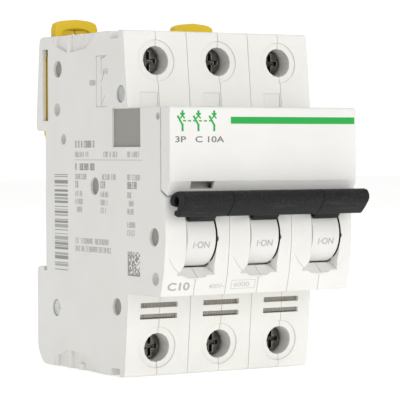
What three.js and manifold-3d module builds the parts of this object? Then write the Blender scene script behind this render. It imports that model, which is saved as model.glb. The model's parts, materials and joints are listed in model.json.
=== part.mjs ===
// Three-pole miniature circuit breaker for a 35 mm rail, in millimetres, +Z up, front towards -Y.
// The origin is in the middle of the rail notch, on the plane where the rail's front face rests.
import * as THREE from "three";
import { mergeVertices } from "three/addons/utils/BufferGeometryUtils.js";
import Module from "manifold-3d";

const wasm = await Module();
wasm.setup();

// Overall sizes
const poleCount = 3;
const polePitch = 18;
const bodyTop = 42;
const bodyBottom = -43;
const noseTop = 22.9;
const noseBottom = -22.3;
const shoulderDepth = 41; // rail plane to the shoulder's outer edge
const shoulderLean = 2; // how much further forward the shoulder is beside the nose
const noseDepth = 60.8; // rail plane to the nose face round the toggles
const noseTuck = 2.4; // how far the nose face falls back at its lower edge
const noseBreak = -10; // height where it starts to fall back
const coverStandOff = 2.2; // how far the cover's face stands before the nose face
const coverRimSetback = 2; // nose face back to the cover's rear rim
const coverFloor = 3.2; // height of the cover's lower rim at the rear
const coverLip = 5.1; // height where the cover's face starts to slope back
const coverTip = 1.75; // height of the cover's lowest edge
const coverSkin = 1.2;
const coverGap = 0.2; // between the cover's rim and the step it seats on

// Walls, seams and clearances
const sideWall = 1.2;
const endWall = 1.6;
const frontWall = 1.5;
const backWall = 3.2;
const poleGap = 0.1;
const partingGap = 0.1;
const partingShift = 0.15; // the halves meet a little to the right of the pole's middle
const looseFit = 0.3;
const pinFit = 0.1;

// Rail notch and hooks
const notchTop = 17.7;
const notchBottom = -17.6;
const hookDepth = 5;
const hookTipTop = 3.1; // hook depth at the top of the body
const hookTipBottom = 2.2; // hook depth at the bottom of the body
const grooveDepth = 1; // groove that takes the rail's lower lip
const grooveWidth = 1.5;
const grooveRelief = 0.3; // how far the groove goes behind the rail's plane

// Terminals
const topScrewInset = 7.4; // screw axis below the body's top
const bottomScrewInset = 7; // screw axis above the body's bottom
const screwBore = 3.6;
const screwHead = 3.2;
const screwHeadHeight = 3;
const recessHalf = 0.5; // half the width of the cross recess's slots
const recessReach = 2.3;
const recessDepth = 1.5;
const screwShank = 2.4;
const screwHalo = 5.15;
const haloDepth = 0.35;
const wellWall = 1.1;
const wellLip = 0.8; // wall at the well's end that the screw's head bears on
const plateFront = 26.4;
const plateThickness = 1.4;
const plateHalf = 3.8;
const cageInner = 4.2;
const cageWall = 1.2;
const cageFrontWall = 2.2;
const cageHalfHeight = 4.9;
const plateGap = 0.6; // contact plate to the cage's front wall in the open clamp
const cageStop = 0.4; // left between the closed cage and the well
const shelfGap = 1.1; // cage to the shelf beside it
const shelfThickness = 1.2;
const cableGap = 6.4;
const clampTravel = 4;
const entryHalf = 4.5;
const entryMargin = 0.8;
const funnelWidth = 1;
const funnelDepth = 0.5;
const busbarFront = 38.7; // groove for a comb busbar across both ends
const busbarBack = 34.3;
const busbarDepth = 1.9;

// Toggle, its drum and the window cheeks
const pivotSetback = 5.2; // nose face to the toggle's axis
const pivotHeight = -8.1;
const drumRadius = 7.25;
const drumHalf = 3.95;
const slotLeft = 4.05; // toggle's middle to the cheek on its left
const slotRight = 4.4;
const slotTop = 1.1;
const axleRadius = 1.6;
const cheekRadius = 8.9;
const cheekLength = 10.1; // half the height of the cheeks' oval, whose half width is the radius
const cheekHeight = 2.6;
const leverAngle = 42; // degrees above the forward direction when on
const leverHalf = 3.7;
const leverThickness = 3.5;
const tangThickness = 2.2;
const tangHalf = 2.6;
const tangStart = 4.6; // toggle's axis to the end of the tang in the drum
const tangFit = 0.15;
const tiePinReach = 12.95;
const tiePinRadius = 1;
const tiePinSetback = 3; // end of the bar to the end of the pin
const barSetback = 0.45; // side of the row to the end of the bar
const barSeam = 0.05;
const barShoulder = 1.4; // lever's side to the joint in the bar
const pocketFit = 0.15;

// Rail clips
const clipSideWall = 1.25;
const clipLoopStep = 1.4; // how much narrower the pull loop is than the clip
const clipLoopWall = 2.1;
const clipThickness = 2.5;
const clipWebRecess = 1; // loop's front face back to the web that closes most of its eye
const clipNotchHalf = 1.6; // half the width of the three-sided hole in the web
const clipFront = 0.6;
const clipShoulderDrop = 5; // top of the body down to the clip's shoulder
const clipTravel = 3;
const clipPlay = 0.2;
const clipRise = 4.6;
const clipToothDrop = 1.7;
const footJog = 1.5; // how much deeper the clip is beside the rail
const footHeight = 4.5;

// Working parts
const shaftY = -26.3;
const shaftZ = 3.7;
const shaftRadius = 1.6;
const shaftDimpleRadius = 2.25;
const armPivotY = -36;
const armPivotZ = -6;
const armPeg = 1.4;
const armHalf = 2.2;
const coilY = -16;
const coilBottom = 6;
const coilTop = 20.2;
const coilRadius = 5.2;
const coilBore = 2.6;
const coilTurns = 5;
const plungerRadius = 2.3;
const strikerRadius = 0.8;
const strikerBottom = 3;
const yokePlate = 1.2;
const yokeHalf = 5.5;
const chuteTop = -9;
const chuteHeight = 15.5;
const chuteFront = 22.5;
const chuteBack = 5.2;
const chutePlates = 8;
const stripThickness = 1.3;
const bimetalThickness = 0.9;
const bimetalHalf = 3;
const bimetalTop = 0.5;

// Trip window in the cover, and its flag
const windowShift = 0.2; // window's middle to the middle of the first pole
const windowHalf = 3.2;
const windowBottom = 3.4;
const windowTop = 5;
const flagThickness = 0.4;
const flagTravel = 1.95;

// Places worked out from the sizes above
const poleHalf = (polePitch - poleGap) / 2;
const cavityHalf = poleHalf - sideWall;
const rowHalf = (poleCount * polePitch - poleGap) / 2;
const outerPole = ((poleCount - 1) / 2) * polePitch;
const coverDepth = noseDepth + coverStandOff;
const coverRim = noseDepth - coverRimSetback;
const coverStep = coverRim - coverGap;
const pivotY = pivotSetback - noseDepth;
const topScrewZ = bodyTop - topScrewInset;
const bottomScrewZ = bodyBottom + bottomScrewInset;
const closedCageFront = plateFront + plateGap + cageFrontWall + clampTravel;
const screwHeadFront = closedCageFront + cageStop + wellLip + screwHeadHeight;
const plateBack = plateFront - plateThickness;
const cageBack = plateBack - cableGap;
const well = screwBore + wellWall;
const barHalf = rowHalf - barSetback;
const tieBarHalf = outerPole - leverHalf - barShoulder;
const clipHalf = poleHalf - clipSideWall;
const clipLoopHalf = clipHalf - clipLoopStep;
const clipShoulder = bodyTop - clipShoulderDrop;
const clipRear = clipThickness - clipFront;
const footTop = notchTop + footHeight;
const embed = 0.4;
const roundSides = 12;
const fewSides = 8; // for what no one sees
const wellSides = 16;
const fineSides = 24;
const drumSides = 36;
const farOut = 120; // past every face

// Geometry helpers
const toSolid = (geometry) => {
  const bare = geometry.clone();
  bare.deleteAttribute("normal");
  bare.deleteAttribute("uv");
  const merged = mergeVertices(bare, 1e-4);
  const vertProperties = new Float32Array(merged.attributes.position.array);
  const triVerts = new Uint32Array(merged.index.array);
  let volume = 0;
  const corner = (k) => new THREE.Vector3().fromArray(vertProperties, 3 * triVerts[k]);
  for (let k = 0; k < triVerts.length; k += 3) {
    volume += corner(k).dot(corner(k + 1).cross(corner(k + 2)));
  }
  if (volume < 0) {
    for (let k = 0; k < triVerts.length; k += 3) {
      [triVerts[k + 1], triVerts[k + 2]] = [triVerts[k + 2], triVerts[k + 1]];
    }
  }
  return new wasm.Manifold(new wasm.Mesh({ numProp: 3, vertProperties, triVerts }));
};

const toGeometry = (solid) => {
  const { vertProperties, triVerts } = solid.getMesh();
  const geometry = new THREE.BufferGeometry();
  geometry.setAttribute("position", new THREE.BufferAttribute(new Float32Array(vertProperties), 3));
  geometry.setIndex(new THREE.BufferAttribute(new Uint32Array(triVerts), 1));
  geometry.computeVertexNormals();
  return geometry;
};

const join = (...solids) => solids.reduce((sum, solid) => sum.add(solid));
const cut = (solid, ...tools) => tools.reduce((rest, tool) => rest.subtract(tool), solid);

const box = (x0, x1, y0, y1, z0, z1) => {
  const geometry = new THREE.BoxGeometry(x1 - x0, y1 - y0, z1 - z0);
  return toSolid(geometry.translate((x0 + x1) / 2, (y0 + y1) / 2, (z0 + z1) / 2));
};

// An outline is a list of corners [u, v, radius]; the radius rounds the corner.
const outline = (corners) => {
  const shape = new THREE.Shape();
  corners.forEach(([u, v, radius = 0], k) => {
    const corner = new THREE.Vector2(u, v);
    const before = new THREE.Vector2(...corners.at(k - 1).slice(0, 2));
    const after = new THREE.Vector2(...corners[(k + 1) % corners.length].slice(0, 2));
    const reachIn = Math.min(radius, corner.distanceTo(before) / 2);
    const reachOut = Math.min(radius, corner.distanceTo(after) / 2);
    const start = corner.clone().add(before.sub(corner).setLength(reachIn));
    const end = corner.clone().add(after.sub(corner).setLength(reachOut));
    if (k === 0) {
      shape.moveTo(start.x, start.y);
    } else {
      shape.lineTo(start.x, start.y);
    }
    if (radius > 0) {
      shape.quadraticCurveTo(u, v, end.x, end.y);
    }
  });
  shape.closePath();
  return shape;
};

const extrude = (shape, depth, curveSegments = 2) =>
  new THREE.ExtrudeGeometry(shape, { depth, bevelEnabled: false, curveSegments });

// Prism along X from a side outline in (y, z)
const prismX = (corners, x0, x1) => {
  const frame = new THREE.Matrix4().set(0, 0, 1, x0, 1, 0, 0, 0, 0, 1, 0, 0, 0, 0, 0, 1);
  return toSolid(extrude(outline(corners), x1 - x0).applyMatrix4(frame));
};

// Prism along Y from a front outline in (x, z)
const prismY = (corners, y0, y1) => {
  const frame = new THREE.Matrix4().set(1, 0, 0, 0, 0, 0, -1, y1, 0, 1, 0, 0, 0, 0, 0, 1);
  return toSolid(extrude(outline(corners), y1 - y0).applyMatrix4(frame));
};

// Round bars along X, Y and Z
const rodX = (y, z, radius, x0, x1, sides = roundSides) => {
  const geometry = new THREE.CylinderGeometry(radius, radius, x1 - x0, sides).rotateZ(Math.PI / 2);
  return toSolid(geometry.translate((x0 + x1) / 2, y, z));
};

const rodY = (x, z, radius, y0, y1, sides = roundSides) => {
  const geometry = new THREE.CylinderGeometry(radius, radius, y1 - y0, sides);
  return toSolid(geometry.translate(x, (y0 + y1) / 2, z));
};

const rodZ = (x, y, radius, z0, z1, sides = roundSides) => {
  const geometry = new THREE.CylinderGeometry(radius, radius, z1 - z0, sides).rotateX(Math.PI / 2);
  return toSolid(geometry.translate(x, y, (z0 + z1) / 2));
};

// Colours and finishes
const finish = (color, roughness, metalness) => () =>
  new THREE.MeshStandardMaterial({ color, roughness, metalness });
const casePlastic = finish(0xe9e8e3, 0.55, 0);
const coverPlastic = finish(0xefeeea, 0.45, 0);
const drumPlastic = finish(0xe6e6e2, 0.45, 0);
const togglePlastic = finish(0x2c2e30, 0.5, 0);
const clipPlastic = finish(0xe0bf2c, 0.45, 0);
const darkPlastic = finish(0x3b3a38, 0.6, 0);
const flagPlastic = finish(0xc23427, 0.5, 0);
const zincSteel = finish(0x8d8f90, 0.35, 0.9);
const darkSteel = finish(0x4a4743, 0.4, 0.9);
const copper = finish(0xb86f45, 0.35, 1);
const fibreBoard = finish(0xb9b29a, 0.8, 0);

const breaker = new THREE.Group();
const addPiece = (group, name, solid, makeMaterial) => {
  const mesh = new THREE.Mesh(toGeometry(solid), makeMaterial());
  mesh.name = name;
  group.add(mesh);
  return mesh;
};

// Heights and depths along the sloping shoulders
const shoulderY = (z) => {
  const [edge, inner] = z > 0 ? [bodyTop, noseTop] : [bodyBottom, noseBottom];
  return -(shoulderDepth + (shoulderLean * (edge - z)) / (edge - inner));
};

// Depth of the nose face where it falls back under the toggles
const noseY = (z) => (noseTuck * (noseBreak - z)) / (noseBreak - noseBottom) - noseDepth;

// Casing: the outline of one pole seen from its left side
const shellOutline = [
  [hookTipTop, bodyTop, 1.6],
  [-shoulderDepth, bodyTop, 0.9],
  [shoulderY(noseTop), noseTop, 0.3],
  [-coverStep, noseTop, 0.2],
  [-coverStep, coverFloor - 0.25],
  [-(noseDepth + 0.4), coverTip - 0.4, 0.3],
  [-noseDepth, -3, 0.8],
  [-noseDepth, noseBreak, 2],
  [-(noseDepth - 0.4 * noseTuck), -17, 1],
  [-(noseDepth - noseTuck), noseBottom, 0.4],
  [shoulderY(noseBottom), noseBottom, 0.3],
  [-shoulderDepth, bodyBottom, 0.9],
  [hookTipBottom, bodyBottom, 1.6],
  [hookDepth, bodyBottom + 4, 1.5],
  [hookDepth, notchBottom, 1.4],
  [grooveWidth, notchBottom],
  [grooveWidth, notchBottom - grooveDepth],
  [-grooveRelief, notchBottom - grooveDepth],
  [-grooveRelief, notchBottom],
  [0, notchBottom],
  [0, notchTop],
  [hookDepth, notchTop, 1.2],
  [hookDepth, notchTop + 4, 1.5],
];

const shoulderCave = closedCageFront + cageStop / 2; // where the end walls thicken under the busbar groove
const caveStep = 2.1;
const cavityOutline = [
  [-backWall, bodyBottom + endWall],
  [-backWall, bodyTop - endWall],
  [-shoulderCave, bodyTop - endWall],
  [-shoulderCave, bodyTop - endWall - caveStep],
  [shoulderY(bodyTop - endWall - caveStep) + frontWall, bodyTop - endWall - caveStep],
  [shoulderY(noseTop) + frontWall, noseTop - frontWall],
  [-(coverStep - frontWall), noseTop - frontWall],
  [-(coverStep - frontWall), coverFloor],
  [-(noseDepth - frontWall), 0],
  [-(noseDepth - frontWall), noseBreak],
  [-(noseDepth - noseTuck - frontWall), noseBottom + frontWall],
  [shoulderY(noseBottom) + frontWall, noseBottom + frontWall],
  [shoulderY(bodyBottom + endWall + caveStep) + frontWall, bodyBottom + endWall + caveStep],
  [-shoulderCave, bodyBottom + endWall + caveStep],
  [-shoulderCave, bodyBottom + endWall],
];

// Rivets that hold the row together, and the blind dimples of the moulding: [y, z, radius]
const rivetPlaces = [
  [1.3 - shoulderDepth, (noseTop + topScrewZ - well) / 2],
  [-5.6, bodyBottom + 15],
];
const rivetHole = 1.65;
const rivetSeat = 2.2;
const rivetSeatDepth = 0.9;
const rivetHead = 0.55;
const rivetFit = 0.15;
const bossWall = 1;
const dimpleDepth = 0.7;
const fanDepth = 0.65;
const dimples = [
  [-6.9, bodyTop - 8.5, 2.2],
  [-6.5, notchTop + 5.4, 1.7],
  [-9.9, notchTop - 2.2, 1.4],
  [pivotY, pivotHeight, 2.25],
  [pivotY - 0.6, noseBottom + 4.2, 1.6],
  [pivotY - 1.9, noseTop - 2.2, 0.9],
  [-37.4, noseBottom - 3.5, 2.2],
  [shaftY, shaftZ, shaftDimpleRadius],
];

// Channel of a rail clip, from the notch to the top of the body
const clipChannel = () => {
  const half = clipHalf + clipPlay;
  const loopHalf = clipLoopHalf + clipPlay;
  const front = -clipFront - clipPlay;
  const rear = clipRear + clipPlay;
  return join(
    box(-half, half, front, rear, notchTop - 1, clipShoulder + clipTravel + clipPlay),
    box(-half, half, 0, rear + footJog, notchTop - 1, footTop + clipTravel + clipPlay),
    box(-loopHalf, loopHalf, front, rear, clipShoulder, bodyTop + 1),
  );
};

// One pole's casing as a whole, before it is parted down the middle
const wholeCase = () => {
  let body = cut(
    prismX(shellOutline, -poleHalf, poleHalf),
    prismX(cavityOutline, -cavityHalf, cavityHalf),
  );
  const inner = cavityHalf + embed;
  const shelfReach = cageHalfHeight + shelfGap;
  const stripSlot = 0.8;
  const shelves = [topScrewZ - shelfReach - shelfThickness, bottomScrewZ + shelfReach];
  for (const low of shelves) {
    const high = low + shelfThickness;
    body = join(body, box(-inner, inner, -shoulderDepth + 0.2, -plateFront - stripSlot, low, high));
    body = join(body, box(-inner, inner, -plateBack + stripSlot, -backWall + embed, low, high));
  }
  for (const [y, z] of rivetPlaces) {
    body = join(body, rodX(y, z, rivetHole + bossWall, -inner, inner, fewSides));
  }
  body = join(body, rodX(armPivotY, armPivotZ, armPeg, -inner, inner));
  for (const side of [-1, 1]) {
    const span = (a, b) => (side < 0 ? [-b, -a] : [a, b]);
    const near = drumHalf + 1.25;
    const boss = rodX(pivotY, pivotHeight, axleRadius + 1.5, ...span(near, inner), fewSides);
    const bearing = rodX(pivotY, pivotHeight, axleRadius + pinFit, ...span(near - 1, cavityHalf));
    body = cut(join(body, boss), bearing);
  }

  // Terminal screw wells, each ending in the lip that the screw's head bears on
  const lipY = screwHeadHeight - screwHeadFront;
  for (const z of [topScrewZ, bottomScrewZ]) {
    const front = shoulderY(z);
    const haloReach = screwHalo + 1;
    const haloFloor = prismX(
      [
        [shoulderY(z - haloReach) + haloDepth, z - haloReach],
        [shoulderY(z + haloReach) + haloDepth, z + haloReach],
        [-farOut, z + haloReach],
        [-farOut, z - haloReach],
      ],
      -haloReach, haloReach,
    );
    const halo = rodY(0, z, screwHalo, front - 5, front + 5, fineSides).intersect(haloFloor);
    body = join(body, box(-well, well, front + frontWall / 2, lipY + wellLip, z - well, z + well));
    body = cut(
      body,
      halo,
      rodY(0, z, screwBore, front - 5, lipY, wellSides),
      rodY(0, z, screwShank + looseFit, lipY - 1, lipY + 3, fewSides),
    );
  }

  // Cable entries, each with a shallow funnel, and the busbar groove across the edge
  const entryFront = -(plateFront + entryMargin);
  const entryBack = entryMargin - cageBack;
  const funnelHalf = entryHalf + funnelWidth;
  const funnelFront = entryFront - funnelWidth;
  const funnelBack = entryBack + funnelWidth;
  for (const [edge, way] of [[bodyTop, 1], [bodyBottom, -1]]) {
    const slice = (a, b) => (way > 0 ? [edge - b, edge - a] : [edge + a, edge + b]);
    body = cut(
      body,
      box(-entryHalf, entryHalf, entryFront, entryBack, ...slice(-1, endWall + 1)),
      box(-funnelHalf, funnelHalf, funnelFront, funnelBack, ...slice(-1, funnelDepth)),
      box(-poleHalf - 1, poleHalf + 1, -busbarFront, -busbarBack, ...slice(-1, busbarDepth)),
    );
  }

  // Vents under the nose and the marker seat above it
  const ventHalf = 5.25;
  const ventHeight = 1.25;
  const ventBack = 0.4 - shoulderDepth;
  for (const drop of [2.5, 5.3]) {
    const top = noseBottom - drop;
    body = cut(body, box(-ventHalf, ventHalf, ventBack - 6, ventBack, top - ventHeight, top));
  }
  const seatDepth = 0.35;
  const seatWidth = 4.8;
  const seatY = shoulderY(noseTop + 2) + seatDepth;
  body = cut(body, box(-seatWidth - 0.2, -0.2, seatY - 4, seatY, noseTop + 0.5, noseTop + 3.9));

  // Domed cheeks round the toggle, cut through by its slot
  const domeRadius = (cheekRadius ** 2 + cheekHeight ** 2) / (2 * cheekHeight);
  const steps = 4;
  const rootDepth = 1.4;
  const profile = [new THREE.Vector2(0, rootDepth), new THREE.Vector2(cheekRadius, rootDepth)];
  for (let k = 0; k <= steps; k += 1) {
    const r = cheekRadius * (1 - k / steps);
    const height = Math.sqrt(domeRadius ** 2 - r ** 2) - (domeRadius - cheekHeight);
    profile.push(new THREE.Vector2(r, -height));
  }
  const lathe = new THREE.LatheGeometry(profile, fineSides);
  lathe.scale(1, 1, cheekLength / cheekRadius);
  const dome = toSolid(lathe.translate(0, embed - noseDepth, pivotHeight));
  body = join(body, dome.intersect(box(-poleHalf, poleHalf, -farOut, -frontWall, -farOut, slotTop + 0.3)));
  const slotBottom = pivotHeight - drumRadius - 0.15;
  const slotBack = 8 - noseDepth;

  // Sill under the slot, its lead-in sloping down and widening towards the front, and the notch by the drum
  const lipDrop = 2.3;
  const lipBack = pivotY - 2;
  const lipWidth = slotRight + 1.5;
  const lipTop = slotBottom + 0.5;
  const lipLow = slotBottom - lipDrop;
  const sillTop = slotBottom + embed;
  const sillLow = lipLow - 1;
  const sill = [
    [noseY(sillTop) + frontWall / 2, sillTop],
    [noseY(sillLow) + frontWall / 2, sillLow],
    [lipBack + 1, sillLow],
    [lipBack + 1, sillTop],
  ];
  body = join(body, prismX(sill, -lipWidth, lipWidth));
  body = cut(body, box(-slotLeft, slotRight, -farOut, slotBack, slotBottom, slotTop));
  const lipSlope = prismX(
    [
      [lipBack, slotBottom],
      [0.5 - noseDepth, lipLow],
      [-farOut, lipLow],
      [-farOut, lipTop],
      [lipBack, lipTop],
    ],
    -poleHalf, poleHalf,
  );
  const lipSpread = prismY(
    [[-slotLeft, lipTop], [-lipWidth, slotBottom - 3], [lipWidth, slotBottom - 3], [slotRight, lipTop]],
    -farOut, slotBack,
  );
  body = cut(body, lipSlope.intersect(lipSpread));
  const notchBack = frontWall + 2 - noseDepth;
  body = cut(body, rodY(slotRight, pivotHeight - 0.5, 0.75, -farOut, notchBack, roundSides));

  for (const [y, z] of rivetPlaces) {
    body = cut(body, rodX(y, z, rivetHole, -poleHalf - 1, poleHalf + 1, fewSides));
  }
  body = cut(body, clipChannel());
  return body;
};

// What the row's two outer faces show: dimples, rivet seats, clip slots and the fans at both edges
const outerFace = (side) => {
  const out = poleHalf + 1;
  const band = (depth) => (side < 0 ? [-out, depth - poleHalf] : [poleHalf - depth, out]);
  const slotHalfDepth = 1.5;
  let marks = box(...band(sideWall + 1), -slotHalfDepth, slotHalfDepth, notchTop + 2.6, bodyTop - 3.2);
  for (const [y, z, radius] of dimples) {
    marks = join(marks, rodX(y, z, radius, ...band(dimpleDepth)));
  }
  for (const [y, z] of rivetPlaces) {
    marks = join(marks, rodX(y, z, rivetSeat, ...band(rivetSeatDepth)));
  }
  const ribs = [[-6.3, -4.6, 9], [-13.6, -11.9, 9], [-19.6, -17.6, 1.6]];
  for (const [edge, way] of [[bodyTop, 1], [bodyBottom, -1]]) {
    const at = (y, inset) => [y, edge - way * inset];
    const corners = [at(-4.3, -1), at(-4.6, 2.3), at(-12.5, 4.6), at(-22, 3.6), at(-29, -1)];
    let fan = prismX(corners, ...band(fanDepth));
    for (const [back, front, length] of ribs) {
      const [low, high] = way > 0 ? [edge - length, edge + 2] : [edge - 2, edge + length];
      fan = cut(fan, box(-out - 1, out + 1, back, front, low, high));
    }
    marks = join(marks, fan);
  }
  return marks;
};

// Shallow seat of an auxiliary block's catch, on the left side only
const accessoryRecess = () => {
  const depth = 0.55;
  const height = 9.5;
  return box(-poleHalf - 1, depth - poleHalf, -49.2, -35.4, noseTop - height, noseTop + 0.1);
};

const buildCase = (pole, index, whole) => {
  const parting = partingGap / 2;
  const halves = [
    ["left", -1, box(-farOut, partingShift - parting, -farOut, farOut, -farOut, farOut)],
    ["right", 1, box(partingShift + parting, farOut, -farOut, farOut, -farOut, farOut)],
  ];
  for (const [word, side, region] of halves) {
    const outermost = index === (side < 0 ? 0 : poleCount - 1);
    const passage = side < 0 ? [-poleHalf - 1, 0] : [0, poleHalf + 1];
    const shaftHole = rodX(shaftY, shaftZ, shaftRadius + looseFit, ...passage);
    let half = cut(whole.intersect(region), outermost ? outerFace(side) : shaftHole);
    if (outermost && side < 0) {
      half = cut(half, accessoryRecess());
    }
    addPiece(pole, `pole${index + 1}_${word}_shell`, half, casePlastic);
  }
};

// Terminals: a captive screw that draws a clamp cage up behind the contact plate
const crossRecess = (y0, y1) => join(
  box(-recessHalf, recessHalf, y0, y1, -recessReach, recessReach),
  box(-recessReach, recessReach, y0, y1, -recessHalf, recessHalf),
);

const buildTerminal = (pole, index, word, screwZ) => {
  const headFront = -screwHeadFront;
  const headBack = headFront + screwHeadHeight;
  const screw = cut(
    join(
      rodY(0, screwZ, screwHead, headFront, headBack),
      rodY(0, screwZ, screwShank, headBack - embed, -(plateFront + looseFit)),
    ),
    crossRecess(headFront - 1, headFront + recessDepth).translate([0, 0, screwZ]),
  );
  addPiece(pole, `pole${index + 1}_${word}_screw`, screw, darkSteel);

  const frontInner = -(plateFront + plateGap);
  const outer = cageInner + cageWall;
  const low = screwZ - cageHalfHeight;
  const high = screwZ + cageHalfHeight;
  const cage = cut(
    box(-outer, outer, frontInner - cageFrontWall, cageWall - cageBack, low, high),
    box(-cageInner, cageInner, frontInner, -cageBack, low - 1, high + 1),
    rodY(0, screwZ, screwShank + pinFit, frontInner - cageFrontWall - 1, frontInner + 1),
  );
  addPiece(pole, `pole${index + 1}_${word}_clamp_cage`, cage, zincSteel);
};

// Current path: upper strip, coil, yoke with the fixed contact and arc runner, arm, bimetal, lower strip
const padBottom = 2.55;
const padFront = -14.6;
const padBack = -11.6;
const coilAir = 0.6;
const yokeFront = coilY - coilRadius - 1;
const yokeBottom = coilBottom - coilAir - yokePlate;
const yokeTop = coilTop + coilAir + yokePlate;
const yokeBack = coilY + coilRadius + 3.8;
const buildConductors = (pole, index) => {
  const upperFoot = yokeTop + 0.8;
  const upperEnd = topScrewZ + cageHalfHeight - 0.3;
  const upper = join(
    box(-plateHalf, plateHalf, -plateFront, -plateBack, upperFoot, upperEnd),
    box(-plateHalf, plateHalf, -plateBack - embed, coilY + 4, upperFoot, upperFoot + stripThickness),
  );
  addPiece(pole, `pole${index + 1}_upper_strip`, upper, copper);

  const shelfLow = bottomScrewZ + cageHalfHeight + 3;
  const shelfHigh = shelfLow + stripThickness;
  const lowerEnd = bottomScrewZ - cageHalfHeight + 0.3;
  const bimetalFront = armPivotY - 4;
  const lower = join(
    box(-plateHalf, plateHalf, -plateFront, -plateBack, lowerEnd, shelfHigh),
    box(-plateHalf, plateHalf, bimetalFront - 0.4, embed - plateFront, shelfLow, shelfHigh),
  );
  addPiece(pole, `pole${index + 1}_lower_strip`, lower, copper);

  const bimetalBack = bimetalFront + bimetalThickness;
  const bimetal = box(-bimetalHalf, bimetalHalf, bimetalFront, bimetalBack, shelfHigh + 0.1, bimetalTop);
  addPiece(pole, `pole${index + 1}_bimetal`, bimetal, zincSteel);

  const yoke = cut(
    join(
      box(-yokeHalf, yokeHalf, yokeFront, yokeBack, yokeTop - yokePlate, yokeTop),
      box(-yokeHalf, yokeHalf, yokeBack - yokePlate, yokeBack, yokeBottom, yokeTop),
      box(-yokeHalf, yokeHalf, yokeFront, yokeBack, yokeBottom, yokeBottom + yokePlate),
      box(-armHalf, armHalf, padFront, padBack, padBottom, yokeBottom + embed),
      box(-armHalf, armHalf, yokeBack - yokePlate, yokeBack, chuteTop + 1, yokeBottom + embed),
    ),
    rodZ(0, coilY, strikerRadius + looseFit, yokeBottom - 1, yokeBottom + yokePlate + 1),
  );
  addPiece(pole, `pole${index + 1}_yoke`, yoke, zincSteel);

  const pitch = (coilTop - coilBottom) / coilTurns;
  const valley = coilRadius - 0.8;
  const profile = [new THREE.Vector2(coilBore, coilBottom)];
  for (let turn = 0; turn < coilTurns; turn += 1) {
    const z = coilBottom + turn * pitch;
    profile.push(new THREE.Vector2(valley, z));
    profile.push(new THREE.Vector2(coilRadius, z + pitch / 2));
  }
  profile.push(new THREE.Vector2(valley, coilTop));
  profile.push(new THREE.Vector2(coilBore, coilTop));
  profile.push(profile[0].clone());
  const lathe = new THREE.LatheGeometry(profile, roundSides).rotateX(Math.PI / 2);
  addPiece(pole, `pole${index + 1}_coil`, toSolid(lathe.translate(0, coilY, 0)), copper);

  const coreBottom = coilBottom + 3.5;
  const plunger = join(
    rodZ(0, coilY, plungerRadius, coreBottom, coilTop - 0.7),
    rodZ(0, coilY, strikerRadius, strikerBottom, coreBottom + embed, fewSides),
  );
  addPiece(pole, `pole${index + 1}_plunger`, plunger, zincSteel);
};

const buildContactArm = (pole, index) => {
  const hub = armPeg + 1.5;
  const armTop = padBottom - 0.15;
  const beam = [
    [armPivotY - 0.6, armPivotZ - 2.4],
    [armPivotY + 0.8, armPivotZ + 2.6],
    [padFront, armTop - 0.9],
    [padFront, armTop],
    [padBack, armTop],
    [padBack, armTop - 2],
    [padFront - 0.4, armTop - 2.4],
  ];
  const arm = cut(
    join(
      rodX(armPivotY, armPivotZ, hub, -armHalf, armHalf),
      prismX(beam, -armHalf, armHalf),
    ),
    rodX(armPivotY, armPivotZ, armPeg + pinFit, -armHalf - 1, armHalf + 1),
  );
  addPiece(pole, `pole${index + 1}_contact_arm`, arm, copper);
};

const buildArcChute = (pole, index) => {
  const half = cavityHalf - 1.2;
  const card = 0.8;
  const bottom = chuteTop - chuteHeight;
  let chute = join(
    box(-half, -half + card, -chuteFront, -chuteBack, bottom, chuteTop),
    box(half - card, half, -chuteFront, -chuteBack, bottom, chuteTop),
  );
  const pitch = chuteHeight / chutePlates;
  const plateReach = half - card / 2;
  const plateRise = 0.45;
  for (let plate = 0; plate < chutePlates; plate += 1) {
    const z = bottom + (plate + 0.5) * pitch;
    const depths = [1 - chuteFront, -chuteBack - 0.6];
    const steel = box(-plateReach, plateReach, ...depths, z - plateRise, z + plateRise);
    chute = join(chute, steel);
  }
  addPiece(pole, `pole${index + 1}_arc_chute`, chute, fibreBoard);
};

// Toggle: a marked drum on its own axle, a lever plugged into it, and the tie across the row
const leverTurn = (leverAngle * Math.PI) / 180;
const pinY = pivotY - tiePinReach * Math.cos(leverTurn);
const pinZ = pivotHeight + tiePinReach * Math.sin(leverTurn);
const alongLever = (reach, rise) => [
  pivotY - reach * Math.cos(leverTurn) + rise * Math.sin(leverTurn),
  pivotHeight + reach * Math.sin(leverTurn) + rise * Math.cos(leverTurn),
];
const leverBar = (near, far, thickness, half) => {
  const rise = thickness / 2;
  const upperEdge = [alongLever(near, rise), alongLever(far, rise)];
  const lowerEdge = [alongLever(far, -rise), alongLever(near, -rise)];
  return prismX([...upperEdge, ...lowerEdge], -half, half);
};

const buildDrum = (pole, index) => {
  const reach = cavityHalf - 0.5;
  const drum = cut(
    join(
      rodX(pivotY, pivotHeight, drumRadius, -drumHalf, drumHalf, drumSides),
      rodX(pivotY, pivotHeight, axleRadius, -reach, reach),
    ),
    leverBar(tangStart - tangFit, drumRadius + 2, tangThickness + 2 * tangFit, tangHalf + tangFit),
  );
  addPiece(pole, `pole${index + 1}_toggle_drum`, drum, drumPlastic);
};

// Section of the bar round its pin: a cap over the levers' ends and a hooked grip in front
const barOutline = [
  [3.2, 0.1, 0.5],
  [2.3, 1.6, 1],
  [-0.3, 2.4, 1],
  [-3.5, 2.4, 1.3],
  [-4.3, 0.1, 0.9],
  [-2.3, -2.2, 0.5],
  [-0.5, -3.8, 0.5],
  [1.3, -3.3, 0.4],
  [1.2, -2.3, 0.3],
  [-0.2, -2, 0.3],
  [-0.4, -1.2, 0.3],
  [2.6, -1.1, 0.4],
].map(([y, z, radius]) => [pinY + y, pinZ + z, radius]);

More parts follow.
